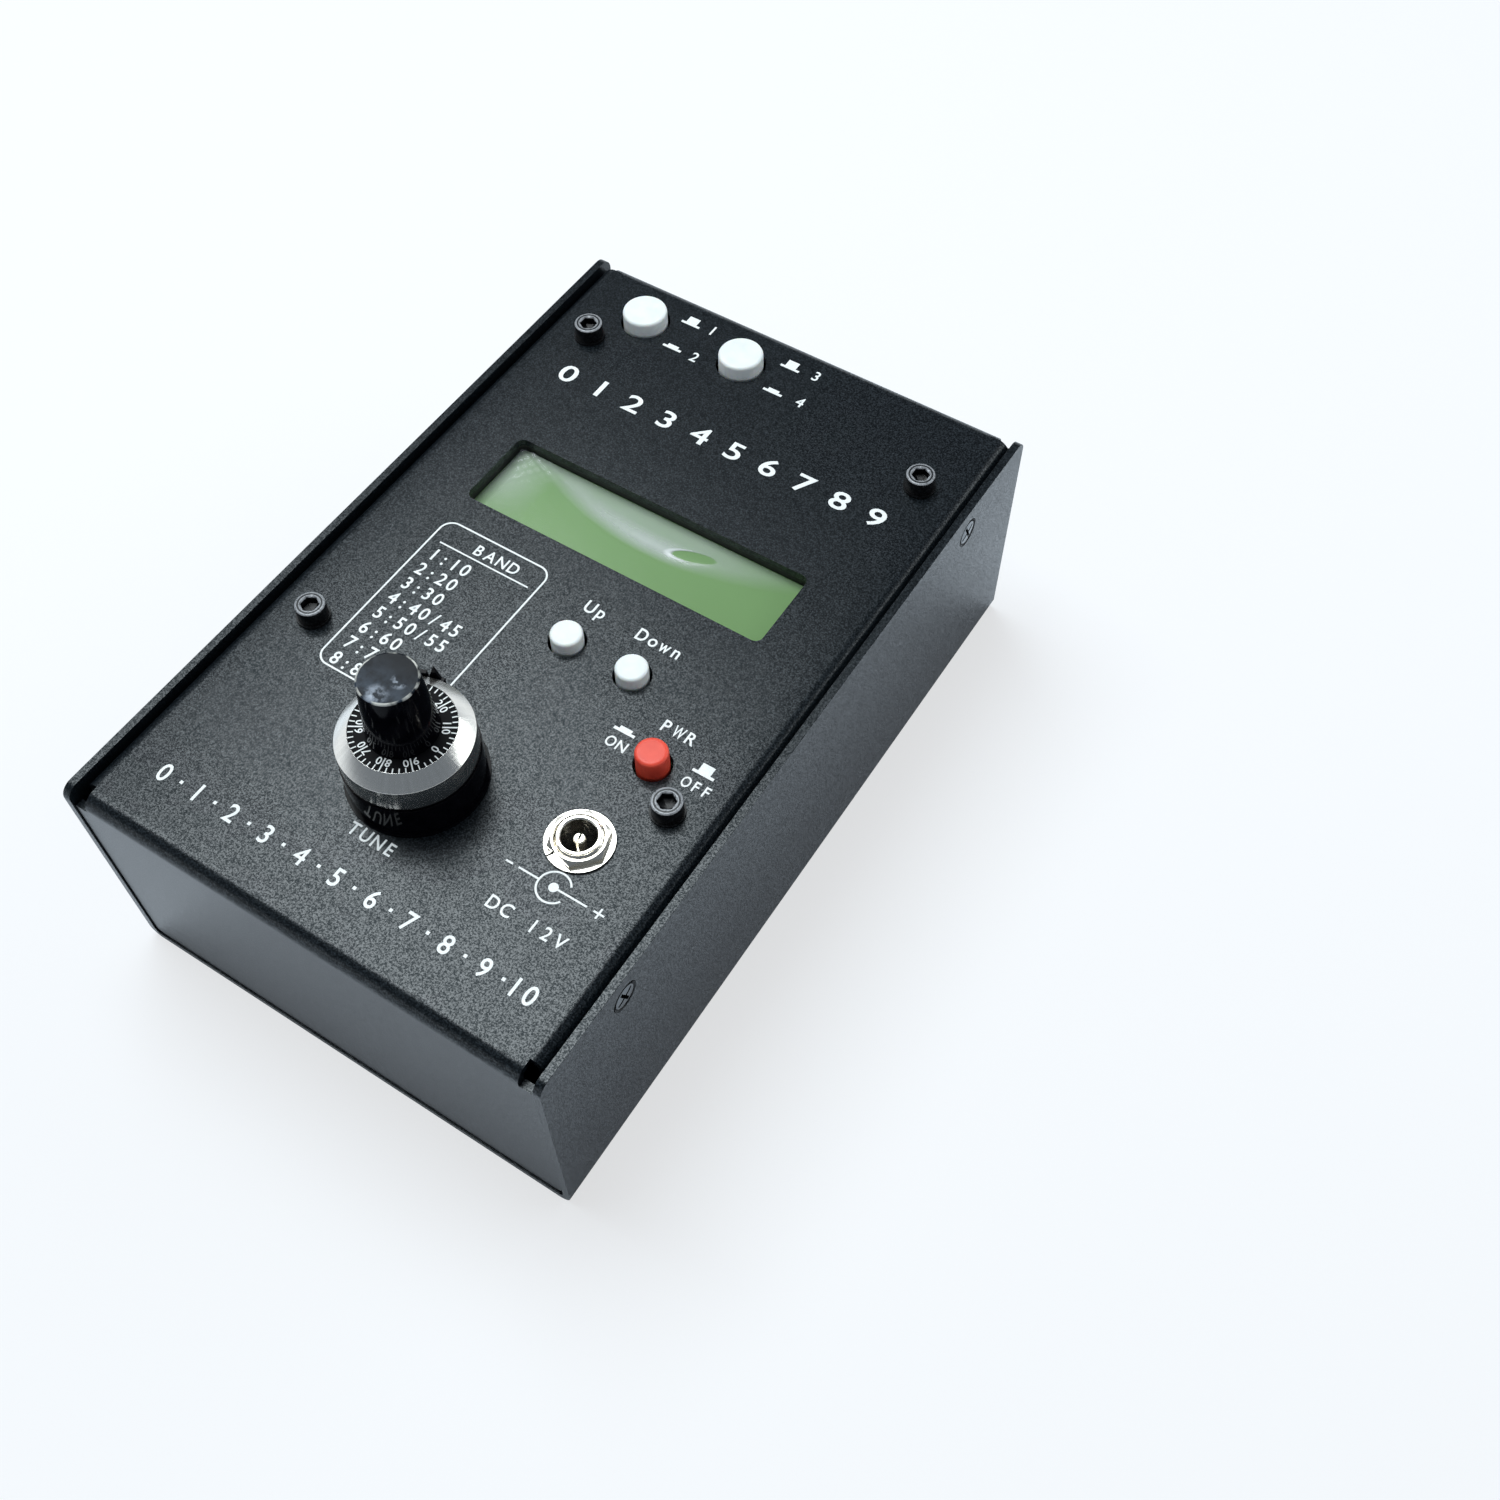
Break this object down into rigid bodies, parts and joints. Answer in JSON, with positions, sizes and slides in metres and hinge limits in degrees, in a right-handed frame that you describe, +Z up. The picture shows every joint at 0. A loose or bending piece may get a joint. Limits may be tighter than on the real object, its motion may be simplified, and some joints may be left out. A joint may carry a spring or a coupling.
{
  "type": "antenna analyzer",
  "caption": "Hand-held antenna analyzer: folded black metal case with character display, tuning dial with number ring, push buttons, power inlet and a threaded antenna jack.",
  "frame": {"origin": "centre of the case's flat base face, where the case stands", "axes": "+Z up out of the control panel, +Y along the case towards the antenna jack, +X to the right for a reader of the panel"},
  "size_m": [0.098, 0.1722, 0.0779],
  "materials": {
    "black_powder_coat": "fine-grained satin black powder coat on folded aluminium sheet",
    "black_steel": "blackened steel, satin",
    "zinc_steel": "bright zinc plate",
    "nickel_brass": "polished nickel plate",
    "gold_brass": "gold plate",
    "circuit_board": "green solder mask",
    "chip_plastic": "matt black moulding",
    "capacitor_sleeve": "dark shrink sleeve",
    "wound_ferrite": "copper wire on a ring core",
    "bare_aluminium": "mill finish",
    "spun_aluminium": "fine-turned satin",
    "black_bezel": "matt black",
    "display_green": "green reflective display glass",
    "clear_film": "clear protective film with slight haze",
    "light_guide": "milky light guide",
    "switch_housing": "dark switch moulding",
    "white_plastic": "satin white moulding",
    "red_plastic": "satin red moulding",
    "pot_housing": "dark blue moulding",
    "gloss_black": "glossy black moulding",
    "dial_black": "satin black with white divisions",
    "insulator_black": "black moulding",
    "insulator_white": "white insulation"
  },
  "bodies": {
    "case": {"antenna_jack_contact": "gold_brass", "antenna_jack_insulator": "insulator_white", "antenna_jack_nuts": "nickel_brass", "antenna_jack_screws": "nickel_brass", "antenna_jack_shell": "nickel_brass", "antenna_lead": "insulator_white", "band_switch_body": "switch_housing", "band_switch_spring": "zinc_steel", "board_capacitors": "capacitor_sleeve", "board_chips": "chip_plastic", "board_ring_cores": "wound_ferrite", "board_screws": "zinc_steel", "board_standoffs": "nickel_brass", "bottom_tray": "black_powder_coat", "dial_base": "gloss_black", "display_backlight": "light_guide", "display_bezel": "black_bezel", "display_board": "circuit_board", "display_film": "clear_film", "display_glass": "display_green", "display_header": "chip_plastic", "display_screws": "zinc_steel", "display_spacers": "nickel_brass", "down_switch_body": "switch_housing", "inlet_barrel": "nickel_brass", "inlet_insulator": "insulator_black", "inlet_nut": "nickel_brass", "inlet_pin": "nickel_brass", "inlet_washer": "nickel_brass", "main_board": "circuit_board", "panel_screws": "black_steel", "panel_washers": "zinc_steel", "power_switch_body": "switch_housing", "power_switch_spring": "zinc_steel", "range_switch_body": "switch_housing", "range_switch_spring": "zinc_steel", "regulator_heatsink": "bare_aluminium", "shield_can": "zinc_steel", "side_screw_nuts": "zinc_steel", "side_screws": "black_steel", "top_cover": "black_powder_coat", "tuning_pot_body": "pot_housing", "tuning_pot_bush": "nickel_brass", "tuning_pot_nut": "zinc_steel", "up_switch_body": "switch_housing", "voltage_regulator": "chip_plastic"},
    "dial": {"tuning_shaft": "nickel_brass", "dial_ring": "spun_aluminium", "dial_scale": "dial_black", "dial_knob": "gloss_black", "dial_grub_screw": "zinc_steel"},
    "band_key": {"band_switch_plunger": "switch_housing", "band_button_cap": "white_plastic"},
    "range_key": {"range_switch_plunger": "switch_housing", "range_button_cap": "white_plastic"},
    "power_key": {"power_switch_plunger": "switch_housing", "power_button_cap": "red_plastic"},
    "up_key": {"up_button": "white_plastic"},
    "down_key": {"down_button": "white_plastic"}
  },
  "joints": [
    {"name": "dial_turn", "type": "hinge", "parent": "case", "child": "dial", "pos_m": [-0.0012, -0.0433, 0.0505], "axis": [0, 0, 1], "range_deg": [-2053.5, 1546.5]},
    {"name": "band_press", "type": "slide", "parent": "case", "child": "band_key", "axis": [0, 0, 1], "range_m": [-0.0025, 0], "stiffness_N_per_m": 800, "springref_m": 0.001, "deforming": ["band_switch_spring"]},
    {"name": "range_press", "type": "slide", "parent": "case", "child": "range_key", "axis": [0, 0, 1], "range_m": [-0.0025, 0], "stiffness_N_per_m": 800, "springref_m": 0.001, "deforming": ["range_switch_spring"]},
    {"name": "power_press", "type": "slide", "parent": "case", "child": "power_key", "axis": [0, 0, 1], "range_m": [-0.0025, 0], "stiffness_N_per_m": 800, "springref_m": 0.001, "deforming": ["power_switch_spring"]},
    {"name": "up_press", "type": "slide", "parent": "case", "child": "up_key", "axis": [0, 0, 1], "range_m": [-0.0004, 0], "stiffness_N_per_m": 2000, "springref_m": 0.0003},
    {"name": "down_press", "type": "slide", "parent": "case", "child": "down_key", "axis": [0, 0, 1], "range_m": [-0.0004, 0], "stiffness_N_per_m": 2000, "springref_m": 0.0003}
  ]
}
